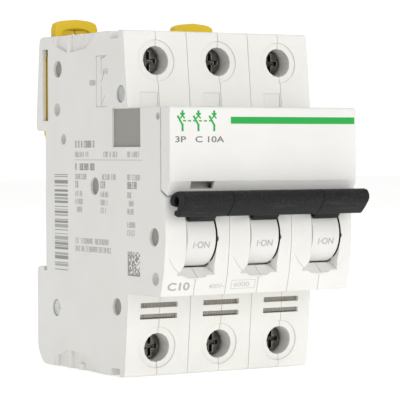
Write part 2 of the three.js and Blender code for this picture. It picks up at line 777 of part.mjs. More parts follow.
const leverCore = (clearance) => join(
  leverBar(drumRadius + 0.2, tiePinReach, leverThickness + 2 * clearance, leverHalf + clearance),
  rodX(pinY, pinZ, leverThickness / 2 + clearance, -leverHalf - clearance, leverHalf + clearance),
);

const buildLever = (pole, index, poleX) => {
  let lever = join(leverCore(0), leverBar(tangStart, drumRadius + 1, tangThickness, tangHalf));
  if (index === 0) {
    lever = join(lever, prismX(barOutline, -barHalf - poleX, -tieBarHalf - barSeam - poleX));
  }
  if (index === poleCount - 1) {
    lever = join(lever, prismX(barOutline, tieBarHalf + barSeam - poleX, barHalf - poleX));
  }
  lever = cut(lever, rodX(pinY, pinZ, tiePinRadius + pinFit, -polePitch, polePitch));
  addPiece(pole, `pole${index + 1}_toggle_lever`, lever, togglePlastic);
};

// Trip levers on the shaft that links the poles
const buildTripLever = (pole, index) => {
  const x0 = -cavityHalf + 2.1;
  const x1 = x0 + 2.6;
  const tipY = armPivotY - 2.4;
  const root = 2.4;
  const beam = [
    [shaftY, shaftZ - root],
    [tipY, bimetalTop - 4.2],
    [tipY, bimetalTop - 0.6],
    [shaftY, shaftZ + root],
  ];
  const lever = cut(
    join(rodX(shaftY, shaftZ, shaftRadius + 1.3, x0, x1), prismX(beam, x0, x1)),
    rodX(shaftY, shaftZ, shaftRadius + pinFit, x0 - 1, x1 + 1),
  );
  addPiece(pole, `pole${index + 1}_trip_lever`, lever, darkPlastic);
};

const whole = wholeCase();
const poleMiddle = (index) => index * polePitch - outerPole;
const buildPole = (index) => {
  const pole = new THREE.Group();
  pole.position.x = poleMiddle(index);
  buildCase(pole, index, whole);
  buildTerminal(pole, index, "top", topScrewZ);
  buildTerminal(pole, index, "bottom", bottomScrewZ);
  buildConductors(pole, index);
  buildContactArm(pole, index);
  buildArcChute(pole, index);
  buildDrum(pole, index);
  buildLever(pole, index, pole.position.x);
  buildTripLever(pole, index);
  breaker.add(pole);
};
for (let index = 0; index < poleCount; index += 1) {
  buildPole(index);
}

// Tie across the toggles
const leverPockets = [];
for (let index = 1; index < poleCount - 1; index += 1) {
  leverPockets.push(leverCore(pocketFit).translate([poleMiddle(index), 0, 0]));
}
const tieBar = cut(
  prismX(barOutline, -tieBarHalf, tieBarHalf),
  ...leverPockets,
  rodX(pinY, pinZ, tiePinRadius + pinFit, -barHalf, barHalf),
);
addPiece(breaker, "toggle_tie_bar", tieBar, togglePlastic);
const tiePinHalf = barHalf - tiePinSetback;
addPiece(breaker, "toggle_tie_pin", rodX(pinY, pinZ, tiePinRadius, -tiePinHalf, tiePinHalf), zincSteel);

// Trip shaft through all poles
const shaftHalf = rowHalf - sideWall - looseFit;
addPiece(breaker, "trip_shaft", rodX(shaftY, shaftZ, shaftRadius, -shaftHalf, shaftHalf), darkPlastic);

// Row rivets
rivetPlaces.forEach(([y, z], k) => {
  const shank = rivetHole - rivetFit;
  const head = rivetSeat - rivetFit;
  const headFrom = rowHalf - rivetSeatDepth + 0.05;
  const headTo = headFrom + rivetHead;
  const rivet = join(
    rodX(y, z, shank, -headFrom - 0.2, headFrom + 0.2),
    rodX(y, z, head, -headTo, -headFrom),
    rodX(y, z, head, headFrom, headTo),
  );
  addPiece(breaker, `row_rivet_${k + 1}`, rivet, zincSteel);
});

// Cover across the upper half of the nose, with the trip window and its flag guides
const windowMiddle = windowShift - outerPole;
const coverInner = coverSkin - coverDepth;
const flagOverlap = 0.5;
const buildCover = () => {
  const half = rowHalf - 0.02;
  const tipY = 1.1 - coverDepth;
  const ceiling = noseTop - coverSkin;
  const face = [
    [-coverRim, noseTop, 0.2],
    [-coverRim, coverFloor],
    [tipY, coverTip, 0.25],
    [-coverDepth, coverLip, 0.2],
    [-coverDepth, noseTop, 0.9],
  ];
  const cavity = [
    [1 - coverRim, ceiling],
    [1 - coverRim, coverFloor + 1.7],
    [-coverRim, coverFloor + 0.9],
    [tipY + 0.85, coverTip + coverSkin],
    [coverInner, coverLip + 0.3],
    [coverInner, ceiling],
  ];
  const sides = [windowMiddle - windowHalf, windowMiddle + windowHalf];
  let cover = cut(
    prismX(face, -half, half),
    prismX(cavity, coverSkin - half, half - coverSkin),
    box(...sides, -coverDepth - 1, coverInner + coverSkin, windowBottom, windowTop),
  );
  const guideHalf = 0.3;
  const guideReach = windowHalf + flagOverlap + 2 * guideHalf;
  for (const x of [windowMiddle - guideReach, windowMiddle + guideReach]) {
    const guide = [coverInner - embed, coverInner + 2.6, windowTop + 0.6, windowTop + 6];
    cover = join(cover, box(x - guideHalf, x + guideHalf, ...guide));
  }
  return cover;
};
addPiece(breaker, "front_cover", buildCover(), coverPlastic);

const flagFront = coverInner + 0.9;
const flagReach = windowHalf + flagOverlap;
const flagX = [windowMiddle - flagReach, windowMiddle + flagReach];
const flagHeight = 3.2;
const flagBottom = windowBottom + flagTravel + 0.05;
const flagTop = flagBottom + flagHeight;
const flag = join(
  box(...flagX, flagFront, flagFront + flagThickness, flagBottom, flagTop),
  box(...flagX, flagFront, flagFront + 1.6, flagBottom + 1.2, flagTop),
);
addPiece(breaker, "trip_flag", flag, flagPlastic);

// Rail clips in the outer poles
const buildClip = (x, number) => {
  const toothTip = notchTop - clipToothDrop;
  const rear = clipRear + footJog;
  const toothBack = rear - 1.7;
  const side = [
    [-clipFront, notchTop + 3],
    [0.2, notchTop + 2],
    [toothBack, notchTop + 1.4],
    [toothBack, toothTip + 0.5],
    [rear - 0.7, toothTip],
    [rear, toothTip + 0.6],
    [rear, footTop - 1.2],
    [clipRear, footTop],
    [clipRear, clipShoulder],
    [-clipFront, clipShoulder],
  ];
  const loopTop = bodyTop + clipRise;
  const loopEnd = loopTop - 0.6;
  const loopRoot = clipShoulder - 2;
  const loop = [
    [-clipLoopHalf, loopRoot],
    [clipLoopHalf, loopRoot],
    [clipLoopHalf, loopEnd, 1.6],
    [0, loopTop + 0.5, 5],
    [-clipLoopHalf, loopEnd, 1.6],
  ];
  const eyeHalf = clipLoopHalf - clipLoopWall;
  const eyeEnd = loopEnd - clipLoopWall;
  const eye = [
    [-eyeHalf, bodyTop - 1],
    [eyeHalf, bodyTop - 1],
    [eyeHalf, eyeEnd, 1.2],
    [0, eyeEnd + 0.8, 3],
    [-eyeHalf, eyeEnd, 1.2],
  ];
  const notch = [
    [-clipNotchHalf, bodyTop - 1],
    [clipNotchHalf, bodyTop - 1],
    [0, eyeEnd],
  ];
  const clip = cut(
    join(prismX(side, -clipHalf, clipHalf), prismY(loop, -clipFront, clipRear)),
    prismY(eye, -clipFront - 1, clipWebRecess - clipFront),
    prismY(notch, -clipFront - 1, clipRear + 1),
  );
  addPiece(breaker, `rail_clip_${number}`, clip.translate([x, 0, 0]), clipPlastic);
};
buildClip(-outerPole, 1);
buildClip(outerPole, 2);

export default breaker;
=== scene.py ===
import json
import math
import random

import bmesh
import bpy
from mathutils import Matrix, Vector


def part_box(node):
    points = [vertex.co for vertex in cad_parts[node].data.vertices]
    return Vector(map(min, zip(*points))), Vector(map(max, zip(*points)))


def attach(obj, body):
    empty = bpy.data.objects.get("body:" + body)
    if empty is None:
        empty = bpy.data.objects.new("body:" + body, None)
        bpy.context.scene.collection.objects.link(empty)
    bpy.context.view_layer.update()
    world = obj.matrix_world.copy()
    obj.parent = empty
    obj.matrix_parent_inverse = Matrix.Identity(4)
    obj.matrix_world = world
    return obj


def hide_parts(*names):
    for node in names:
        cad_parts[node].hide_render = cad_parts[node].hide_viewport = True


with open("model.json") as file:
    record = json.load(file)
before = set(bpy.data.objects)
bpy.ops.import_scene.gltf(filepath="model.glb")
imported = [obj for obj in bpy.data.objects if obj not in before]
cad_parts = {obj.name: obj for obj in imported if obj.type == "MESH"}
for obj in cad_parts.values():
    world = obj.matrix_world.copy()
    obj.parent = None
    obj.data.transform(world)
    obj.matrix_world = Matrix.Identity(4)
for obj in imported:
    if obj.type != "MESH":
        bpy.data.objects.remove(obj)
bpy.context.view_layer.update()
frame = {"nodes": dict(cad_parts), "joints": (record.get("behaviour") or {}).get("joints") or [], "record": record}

mm = 0.001
nodes = frame["nodes"]
poles = (1, 2, 3)


def middle(node):
    low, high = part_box(node)
    return (low + high) / 2


def jointPlace(name):
    found = next(joint for joint in frame["joints"] if joint["name"] == name)
    return Vector(found["pos_m"])


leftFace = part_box("pole1_left_shell")[0].x
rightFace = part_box("pole3_right_shell")[1].x
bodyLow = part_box("pole1_left_shell")[0].z
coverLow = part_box("front_cover")[0]
toggleAxis = jointPlace("toggle_swing")
drumLow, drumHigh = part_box("pole2_toggle_drum")
drumRadius = (drumHigh.z - drumLow.z) / 2
poleMiddles = {pole: middle(f"pole{pole}_toggle_drum").x for pole in poles}


class Signal:
    # one socket of a finish, so that sums on it read as plain arithmetic
    def __init__(self, finish, socket):
        self.finish = finish
        self.socket = socket

    def sum(self, operation, *terms):
        return self.finish.node("ShaderNodeMath", {"operation": operation}, dict(enumerate(terms)))

    def __add__(self, other):
        return self.sum("ADD", self, other)

    def __sub__(self, other):
        return self.sum("SUBTRACT", self, other)

    def __rsub__(self, other):
        return self.sum("SUBTRACT", other, self)

    def __mul__(self, other):
        return self.sum("MULTIPLY", self, other)

    __radd__ = __add__
    __rmul__ = __mul__


class NodeMaker:
    # adds nodes to one tree
    def __init__(self, tree):
        self.tree = tree

    def node(self, kind, settings=None, inputs=None, output=0):
        made = self.tree.nodes.new(kind)
        for key, value in (settings or {}).items():
            setattr(made, key, value)
        for key, value in (inputs or {}).items():
            self.feed(made.inputs[key], value)
        return Signal(self, made.outputs[output])

    def feed(self, socket, value):
        if isinstance(value, Signal):
            self.tree.links.new(value.socket, socket)
        else:
            socket.default_value = value

    def ramp(self, value, low, high, toLow=0, toHigh=1):
        inputs = {"Value": value, "From Min": low, "From Max": high, "To Min": toLow, "To Max": toHigh}
        return self.node("ShaderNodeMapRange", {"clamp": True}, inputs)


class Finish(NodeMaker):
    # one material, built node by node
    def __init__(self, name):
        self.material = bpy.data.materials.new(name)
        self.material.use_nodes = True
        super().__init__(self.material.node_tree)
        self.shader = self.tree.nodes["Principled BSDF"]
        self.place = self.node("ShaderNodeTexCoord", {}, {}, "Object")

    def noise(self, size, detail=2, roughness=0.5, place=None):
        inputs = {"Vector": place or self.place, "Scale": 1 / size, "Detail": detail, "Roughness": roughness}
        return self.node("ShaderNodeTexNoise", {}, inputs, 0)

    def mix(self, factor, first, second):
        return self.node("ShaderNodeMix", {"data_type": "RGBA"}, {0: factor, 6: first, 7: second}, 2)

    def stretch(self, scale):
        settings = {"operation": "MULTIPLY"}
        return self.node("ShaderNodeVectorMath", settings, {0: self.place, 1: scale})

    def bump(self, height, distance, strength=1, under=None):
        inputs = {"Height": height, "Distance": distance, "Strength": strength}
        if under is not None:
            inputs["Normal"] = under
        return self.node("ShaderNodeBump", {}, inputs)

    def softEdge(self, radius):
        return self.node("ShaderNodeBevel", {"samples": 6}, {"Radius": radius})

    def set(self, **values):
        names = {
            "colour": "Base Color",
            "roughness": "Roughness",
            "metal": "Metallic",
            "normal": "Normal",
            "specular": "Specular IOR Level",
            "glow": "Emission Color",
            "glowPower": "Emission Strength",
        }
        for key, value in values.items():
            self.feed(self.shader.inputs[names[key]], value)
        return self.material


def rgb(red, green, blue):
    return (red, green, blue, 1)


moulded = {
    "case": {
        "colour": (0.785, 0.778, 0.748), "roughness": 0.42,
        "grain": 0.00016, "depth": 0.000006, "edge": 0.00022,
    },
    "cover": {
        "colour": (0.78, 0.775, 0.755), "roughness": 0.34,
        "grain": 0.00022, "depth": 0.000004, "edge": 0.00018,
    },
    "drum": {
        "colour": (0.735, 0.73, 0.71), "roughness": 0.36,
        "grain": 0.00018, "depth": 0.000004, "edge": 0.00020,
    },
    # painted shade: a darker copy of the case plastic for the dished holes on the sides
    "hollow": {
        "colour": (0.53, 0.52, 0.49), "roughness": 0.45,
        "grain": 0.00016, "depth": 0.000006, "edge": 0.00010,
    },
    "clip": {
        "colour": (0.74, 0.515, 0.012), "roughness": 0.42,
        "grain": 0.00020, "depth": 0.000006, "edge": 0.00025,
    },
    "darkInner": {
        "colour": (0.035, 0.034, 0.032), "roughness": 0.55,
        "grain": 0.00018, "depth": 0.000008, "edge": 0.00015,
    },
    "flag": {
        "colour": (0.55, 0.035, 0.02), "roughness": 0.40,
        "grain": 0.00018, "depth": 0.000004, "edge": 0.00010,
    },
}


# what every moulded plastic shares: sizes of its unevenness, shares of its darker and warmer tones
mouldedSkin = {
    "cloud": 0.011,
    "speck": 0.0006,
    "flow": 0.004,
    "deep": 0.93,
    "warm": (0.99, 0.965, 0.92),
    "waviness": 0.00008,
    "specular": 0.35,
}


def mouldedPlastic(name):
    look = moulded[name]
    finish = Finish(f"{name}Plastic")
    cloud = finish.noise(mouldedSkin["cloud"], 3)
    speck = finish.noise(mouldedSkin["speck"], 2, 0.6)
    grain = finish.noise(look["grain"], 2, 0.6)
    flow = finish.noise(mouldedSkin["flow"], 2, place=finish.stretch((1, 1, 0.35)))
    base = rgb(*look["colour"])
    deep = rgb(*(channel * mouldedSkin["deep"] for channel in look["colour"]))
    warm = rgb(*(channel * share for channel, share in zip(look["colour"], mouldedSkin["warm"])))
    toned = finish.mix(finish.ramp(cloud, 0.35, 0.75) * 0.6, base, deep)
    toned = finish.mix(finish.ramp(flow, 0.5, 0.8) * 0.35, toned, warm)
    toned = finish.mix(finish.ramp(speck, 0.70, 0.82) * 0.25, toned, deep)
    rough = look["roughness"] + (cloud - 0.5) * 0.10 + (grain - 0.5) * 0.12
    normal = finish.bump(grain, look["depth"] * 4, 0.5, finish.softEdge(look["edge"]))
    normal = finish.bump(cloud, mouldedSkin["waviness"], 0.25, normal)
    return finish.set(colour=toned, roughness=rough, normal=normal, specular=mouldedSkin["specular"])


barLook = {
    "colour": (0.007, 0.0075, 0.009),
    "worn": (0.050, 0.049, 0.046),
    "grain": 0.00042,
    "streak": 0.0012,
    "cloud": 0.006,
    "depth": 0.00006,
    "edge": 0.00025,
    "roughness": 0.58,
    "specular": 0.2,
}


def grainedBlack():
    finish = Finish("grainedBlackPlastic")
    grain = finish.noise(barLook["grain"], 3, 0.65)
    streak = finish.noise(barLook["streak"], 3, 0.6, finish.stretch((0.12, 1, 1)))
    cloud = finish.noise(barLook["cloud"], 2)
    worn = rgb(*barLook["worn"])
    toned = finish.mix(finish.ramp(grain, 0.5, 0.70) * 0.5, rgb(*barLook["colour"]), worn)
    toned = finish.mix(finish.ramp(streak, 0.56, 0.72) * 0.4, toned, worn)
    rough = barLook["roughness"] + (grain - 0.5) * 0.25 + (cloud - 0.5) * 0.1
    normal = finish.bump(grain, barLook["depth"], 0.5, finish.softEdge(barLook["edge"]))
    return finish.set(colour=toned, roughness=rough, normal=normal, specular=barLook["specular"])


metals = {
    "screw": dict(colour=(0.15, 0.142, 0.13), dark=(0.012, 0.011, 0.011), roughness=0.19, scale=(1, 1, 1)),
    "zinc": dict(colour=(0.56, 0.57, 0.57), dark=(0.36, 0.36, 0.35), roughness=0.32, scale=(1, 0.15, 1)),
    "copper": dict(colour=(0.74, 0.36, 0.20), dark=(0.42, 0.19, 0.10), roughness=0.28, scale=(1, 1, 0.2)),
}


platedSkin = {"brushed": 0.0005, "stain": 0.0022, "depth": 0.00003, "edge": 0.00012}


def platedMetal(name):
    look = metals[name]
    finish = Finish(f"{name}Metal")
    brushed = finish.noise(platedSkin["brushed"], 3, 0.6, finish.stretch(look["scale"]))
    stain = finish.noise(platedSkin["stain"], 3, 0.6)
    toned = finish.mix(finish.ramp(stain, 0.45, 0.7) * 0.7, rgb(*look["colour"]), rgb(*look["dark"]))
    rough = look["roughness"] + (brushed - 0.5) * 0.3 + (stain - 0.5) * 0.2
    normal = finish.bump(brushed, platedSkin["depth"], 0.4, finish.softEdge(platedSkin["edge"]))
    return finish.set(colour=toned, roughness=rough, metal=1.0, normal=normal)


fibreLook = {
    "strand": 0.0007,
    "cloud": 0.003,
    "depth": 0.0001,
    "roughness": 0.75,
    "between": (0.34, 0.29, 0.20),
    "strands": (0.56, 0.51, 0.40),
    "deep": (0.24, 0.20, 0.15),
}


def pressedFibre():
    finish = Finish("pressedFibre")
    strand = finish.noise(fibreLook["strand"], 4, 0.7, finish.stretch((1, 1, 0.25)))
    cloud = finish.noise(fibreLook["cloud"], 2)
    toned = finish.mix(strand, rgb(*fibreLook["between"]), rgb(*fibreLook["strands"]))
    toned = finish.mix(cloud * 0.4, toned, rgb(*fibreLook["deep"]))
    rough = fibreLook["roughness"] + (strand - 0.5) * 0.2
    return finish.set(colour=toned, roughness=rough, normal=finish.bump(strand, fibreLook["depth"], 0.5))


inkSkin = {"patches": 0.00045, "roughness": 0.42, "specular": 0.4}


def printedInk(name, colour, faint):
    # pad-printed ink lets a little of the plastic through where it is thin
    finish = Finish(name)
    thin = finish.noise(inkSkin["patches"], 3, 0.65)
    toned = finish.mix(finish.ramp(thin, 0.45, 0.75) * 0.55, rgb(*colour), rgb(*faint))
    rough = inkSkin["roughness"] + (thin - 0.5) * 0.2
    return finish.set(colour=toned, roughness=rough, specular=inkSkin["specular"])


finishes = {
    "case_plastic": mouldedPlastic("case"),
    "cover_plastic": mouldedPlastic("cover"),
    "drum_plastic": mouldedPlastic("drum"),
    "clip_plastic": mouldedPlastic("clip"),
    "dark_plastic": mouldedPlastic("darkInner"),
    "flag_plastic": mouldedPlastic("flag"),
    "toggle_plastic": grainedBlack(),
    "screw_steel": platedMetal("screw"),
    "zinc_steel": platedMetal("zinc"),
    "copper": platedMetal("copper"),
    "fibre_board": pressedFibre(),
}
# painted shade: the dished holes take this darker copy of the case plastic
dishShadePlastic = mouldedPlastic("hollow")
inks = {
    "grey": printedInk("greyInk", (0.17, 0.165, 0.15), (0.28, 0.275, 0.26)),
    "middle": printedInk("middleInk", (0.27, 0.265, 0.25), (0.40, 0.395, 0.38)),
    "pale": printedInk("paleInk", (0.40, 0.395, 0.38), (0.52, 0.515, 0.50)),
    "green": printedInk("greenInk", (0.006, 0.36, 0.05), (0.012, 0.40, 0.065)),
    # painted shade: a grey for the floors of the flat holes and of the accessory seat
    "recessShade": printedInk("recessGrey", (0.30, 0.29, 0.26), (0.33, 0.32, 0.29)),
    "faint": printedInk("faintInk", (0.52, 0.515, 0.50), (0.64, 0.635, 0.62)),
    # painted shade: a dark ink for the shadowed gap beside each drum
    "gapShade": printedInk("blackSeal", (0.012, 0.012, 0.012), (0.02, 0.02, 0.02)),
    "shutter": printedInk("shutterGrey", (0.42, 0.41, 0.37), (0.46, 0.45, 0.41)),
    "taupe": printedInk("taupeFibre", (0.36, 0.34, 0.295), (0.44, 0.415, 0.365)),
}
print("finishes made:", len(finishes) + len(inks))


# widths of the rounded edges in millimetres, by a word in the piece's name
edgeWidth = {"cover": 0.20, "clip": 0.22, "lever": 0.22, "bar": 0.22, "drum": 0.18, "screw": 0.12}
dressing = {"otherEdges": 0.10, "weld": 0.01, "bevelAngle": 40, "splitAngle": 38, "evenWeight": 60}


def addModifier(piece, name, kind, **settings):
    made = piece.modifiers.new(name, kind)
    for key, value in settings.items():
        setattr(made, key, value)


def dress(piece, material):
    piece.data.materials.clear()
    piece.data.materials.append(material)
    piece.data.polygons.foreach_set("use_smooth", [True] * len(piece.data.polygons))
    addModifier(piece, "merge", "WELD", merge_threshold=dressing["weld"] * mm)
    # a bevel leaves slivers on the casing halves' long thin triangles, so they keep their finish's soft edge
    if "shell" not in piece.name:
        widths = [size for word, size in edgeWidth.items() if word in piece.name]
        width = (widths or [dressing["otherEdges"]])[0] * mm
        addModifier(piece, "edges", "BEVEL", width=width, segments=2, limit_method="ANGLE",
                    angle_limit=math.radians(dressing["bevelAngle"]),
                    use_clamp_overlap=False, loop_slide=False)
    addModifier(piece, "sharp", "EDGE_SPLIT", split_angle=math.radians(dressing["splitAngle"]))
    addModifier(piece, "even", "WEIGHTED_NORMAL", keep_sharp=True, weight=dressing["evenWeight"])


for entry in frame["record"]["subparts"]:
    dress(nodes[entry["node"]], finishes[entry["material_slot"]])
print("packed pieces dressed:", len(nodes))


def onFace(place, right, up):
    # X runs along the print, Y up it and Z out of the face
    right, up = Vector(right), Vector(up)
    turn = Matrix((right, up, right.cross(up))).transposed().to_4x4()
    return Matrix.Translation(Vector(place)) @ turn


inkThick = 0.03  # millimetres that a print stands proud of its face


def slab(shape, outline, low=0.0, high=inkThick):
    # a thin plate on the face, its outline and levels in millimetres
    under = [shape.verts.new((u * mm, v * mm, low * mm)) for u, v in outline]
    over = [shape.verts.new((u * mm, v * mm, high * mm)) for u, v in outline]
    shape.faces.new(list(reversed(under)))
    shape.faces.new(over)
    for k in range(len(outline)):
        after = (k + 1) % len(outline)
        shape.faces.new((under[k], under[after], over[after], over[k]))


def patch(shape, left, bottom, right, top, low=0.0, high=inkThick):
    slab(shape, [(left, bottom), (right, bottom), (right, top), (left, top)], low, high)


def stroke(shape, start, end, width, low=0.0, high=inkThick):
    along = (Vector(end) - Vector(start)).normalized() * width / 2
    across = Vector((-along.y, along.x))
    first, last = Vector(start) - along, Vector(end) + along
    slab(shape, [first - across, last - across, last + across, first + across], low, high)


ringSides = 28


def ring(radius, centre=(0, 0)):
    steps = [2 * math.pi * k / ringSides for k in range(ringSides)]
    return [(centre[0] + radius * math.cos(step), centre[1] + radius * math.sin(step)) for step in steps]


def place(name, data, where, material, slotName, body="casing"):
    data.transform(where)
    data.materials.clear()
    data.materials.append(material)
    piece = bpy.data.objects.new(name, data)
    bpy.context.scene.collection.objects.link(piece)
    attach(piece, body)
    return piece


def printed(name, shape, where, ink, slotName="case_plastic"):
    data = bpy.data.meshes.new(name)
    shape.to_mesh(data)
    shape.free()
    place(name, data, where, inks[ink], slotName)


capShare = 0.729  # height of a capital in a font one unit tall


def lettering(text, height, width, weight=0.0):
    # a mesh of the words, height by width in millimetres, its lower left corner at the origin
    curve = bpy.data.curves.new("words", "FONT")
    curve.body = text
    curve.size = height / capShare * mm
    curve.extrude = inkThick / 2 * mm
    curve.offset = weight * mm
    holder = bpy.data.objects.new("words", curve)
    bpy.context.scene.collection.objects.link(holder)
    bpy.context.view_layer.update()
    data = bpy.data.meshes.new_from_object(holder.evaluated_get(bpy.context.evaluated_depsgraph_get()))
    bpy.data.objects.remove(holder)
    bpy.data.curves.remove(curve)
    across = [vertex.co.x for vertex in data.vertices]
    fit = Matrix.Diagonal((width * mm / (max(across) - min(across)), 1, 1, 1))
    data.transform(fit @ Matrix.Translation((-min(across), 0, inkThick / 2 * mm)))
    return data


frontMarks = {
    "stripe": (-9.9, 18.85, 26.4, 20.5),  # left, bottom, right, top
    "emblem": (-24.6, 17.0, 22.0),  # left, bottom, top
    "typeLine": ("3P   C 10A", (-25.4, 14.45), 1.45, 13.6),  # words, lower left, height, width
    "rating": ("C10", (-25.35, -20.8), 1.95, 6.1),
    "voltage": ("400V~", (-13.8, -20.7), 1.2, 4.5),
    "breaking": ("6000", (-6.7, -20.5), 1.2, 4.4),
    "breakingBox": (-7.4, -20.95, -0.6, -18.85),
    "drumWords": ("I·ON", 1.6, 4.5, -10.7),  # words, height, width, bottom
    "slopeTop": (-59.84, -17.0),  # y and z at the upper end of the nose face's lowest strip
    "slopeFoot": (-58.4, -22.3),
}


# one blade of the switch sketch, in millimetres
switchSketch = {
    "first": 1.2,  # from the sketch's left edge
    "pitch": 4.4,
    "lean": 1.25,
    "post": 0.55,  # widths of the strokes
    "blade": 0.50,
    "cross": 0.34,
    "level": 0.006,  # each stroke stands this much above the one before
    "dashes": 3,
    "dashPitch": 1.4,
    "dashLong": 0.8,
    "dashHalf": 0.16,
}


def markCover():
    face = onFace((0, coverLow.y, 0), (1, 0, 0), (0, 0, 1))
    shape = bmesh.new()
    patch(shape, *frontMarks["stripe"])
    printed("coverStripe", shape, face, "green", "cover_plastic")
    # three switch blades, each crossed at its tip and linked by a dashed rod
    left, bottom, top = frontMarks["emblem"]
    shape = bmesh.new()
    middleHeight = (bottom + top) / 2
    post, arm, cross = (switchSketch[key] for key in ("post", "blade", "cross"))
    half = switchSketch["dashHalf"]
    for k in range(len(poles)):
        base = left + switchSketch["first"] + switchSketch["pitch"] * k
        blade = [
            ((base, bottom + 0.3), (base, bottom + 1.5), post),
            ((base, bottom + 1.5), (base - switchSketch["lean"], top - 1.5), arm),
            ((base, top - 1.3), (base, top - 0.3), post),
            ((base - 0.5, top - 1.8), (base + 0.5, top - 0.8), cross),
            ((base - 0.5, top - 0.8), (base + 0.5, top - 1.8), cross),
        ]
        for layer, (start, end, width) in enumerate(blade):
            stroke(shape, start, end, width, 0, inkThick + switchSketch["level"] * layer)
        # the rod runs from each blade to the next, so the last one has none
        for dash in range(switchSketch["dashes"] if k < len(poles) - 1 else 0):
            start = base + 0.15 + switchSketch["dashPitch"] * dash
            end = start + switchSketch["dashLong"]
            patch(shape, start, middleHeight - half, end, middleHeight + half, 0, 0.065)
    printed("coverEmblem", shape, face, "green", "cover_plastic")
    words, (left, bottom), height, width = frontMarks["typeLine"]
    where = face @ Matrix.Translation((left * mm, bottom * mm, 0))
    place("coverTypeLine", lettering(words, height, width, 0.03), where, inks["grey"], "cover_plastic")


def markNose():
    (topY, topZ), (footY, footZ) = frontMarks["slopeTop"], frontMarks["slopeFoot"]
    slope = Vector((0, topY - footY, topZ - footZ)).normalized()
    foot = Vector((0, footY, footZ)) * mm

    def spot(left, bottom):
        corner = foot + slope * (bottom - footZ) / slope.z * mm + Vector((left * mm, 0, 0))
        return onFace(corner, (1, 0, 0), slope)

    prints = (("rating", "pale", 0.07), ("voltage", "faint", 0.01), ("breaking", "faint", 0.01))
    for name, ink, weight in prints:
        words, (left, bottom), height, width = frontMarks[name]
        data = lettering(words, height, width, weight)
        place(f"{name}Mark", data, spot(left, bottom), inks[ink], "case_plastic")
    left, bottom, right, top = frontMarks["breakingBox"]
    shape = bmesh.new()
    corners = [(0, 0), (right - left, 0), (right - left, top - bottom), (0, top - bottom)]
    for k in range(4):
        stroke(shape, corners[k], corners[k - 1], 0.12)
    printed("breakingFrame", shape, spot(left, bottom), "faint")


def markDrums():
    words, height, width, bottom = frontMarks["drumWords"]
    for pole in poles:
        data = lettering(words, height, width, 0.02)
        left = poleMiddles[pole] - width / 2 * mm
        data.transform(onFace((left, 0, bottom * mm), (1, 0, 0), (0, 0, 1)))
        for vertex in data.vertices:
            level = vertex.co.z - toggleAxis.z
            vertex.co.y += toggleAxis.y - math.sqrt(drumRadius ** 2 - level ** 2) - inkThick / 2 * mm
        place(f"drumMark{pole}", data, Matrix(), inks["pale"], "drum_plastic", "toggle")


markCover()
markNose()
markDrums()
print("front marks printed")


sideMarks = {
    "seed": 7,
    "heading": 1.7,  # heights of the lines of small print
    "line": 1.35,
    "rule": 0.12,  # widths of the ruled line and of the wiring sketch's strokes
    "thin": 0.14,
    "ruled": (-16.0, -50.0, 10.2),  # from y, to y, z
    "columns": (-16.2, -29.4, -42.8),
    "bars": (-4.9, -12.1, -18.1, 7.2),  # nearest y, furthest y, bottom, top
    "barWidths": (0.2, 0.2, 0.4, 0.6, 0.9),
    "barGaps": (0.2, 0.3, 0.5, 0.8),
    "darkShare": 0.55,
    "matrix": (-42.9, -17.9, 5.9, 16),  # y of its left edge, bottom, side, cells
    "dotShare": 0.45,  # how many of its cells are filled, and how much of a cell a dot takes
    "dotSize": 0.96,
    "symbol": (-27.6, 23.4, 36.0),  # y of its left line, bottom, top
}
# lines of small print: column, z, how many letters in it, heading or not
sidePrint = [
    (0, 13.3, 13, True), (0, 10.9, 9, False), (1, 10.9, 11, False), (2, 10.9, 8, False),
    (0, 7.6, 13, True), (0, 5.3, 8, False), (1, 5.3, 10, False), (2, 5.3, 8, False),
    (0, 3.2, 2, True), (1, 3.2, 3, True), (2, 3.2, 6, True),
    (0, 1.0, 5, False), (1, 1.0, 5, False), (2, 1.0, 4, False),
    (0, -1.0, 5, False), (1, -1.0, 5, False), (2, -1.0, 4, False),
    (0, -3.0, 5, False), (1, -3.0, 5, False), (2, -3.0, 4, False),
    (2, -6.2, 5, False), (2, -8.2, 5, False),
    (0, -10.9, 22, False), (0, -12.9, 24, False),
]


letter = {
    "pitch": 0.78,
    "bar": 0.13,  # of the letter's height
    "right": 0.62,  # where the right bar starts, of the pitch
    "gapChance": 0.10,
    "rightChance": 0.6,
    "levels": (0.0, 0.45, 0.88),
}


def smallPrint(shape, chance, left, bottom, letters, height):
    # letter-like strokes that spell nothing
    bar = height * letter["bar"]
    for k in range(letters):
        if chance.random() < letter["gapChance"]:
            continue
        start = left + k * letter["pitch"]
        end = start + letter["pitch"] * letter["right"]
        patch(shape, start, bottom, start + bar, bottom + height)
        if chance.random() < letter["rightChance"]:
            patch(shape, end, bottom, end + bar, bottom + height)
        for level in chance.sample(letter["levels"], 2):
            patch(shape, start + bar, bottom + height * level, end, bottom + height * level + bar)


def sketchWiring(shape, left, bottom, top):
    # a measured strip length beside a bent blade
    thin = sideMarks["thin"]
    stroke(shape, (left, bottom), (left, top), thin)
    for level in (bottom, top):
        stroke(shape, (left - 0.5, level), (left + 5.0, level), thin)
    post = left + 2.4
    stroke(shape, (post, bottom + 0.3), (post, bottom + 5.2), thin)
    stroke(shape, (post, bottom + 6.2), (left + 3.9, bottom + 8.6), 0.2)
    stroke(shape, (post, top - 0.3), (post, top - 4.6), thin)
    stroke(shape, (left + 2.5, bottom + 0.4), (left + 4.2, bottom + 2.8), thin)
    stroke(shape, (left + 2.5, top - 0.6), (left + 4.2, top - 0.2), 0.3)


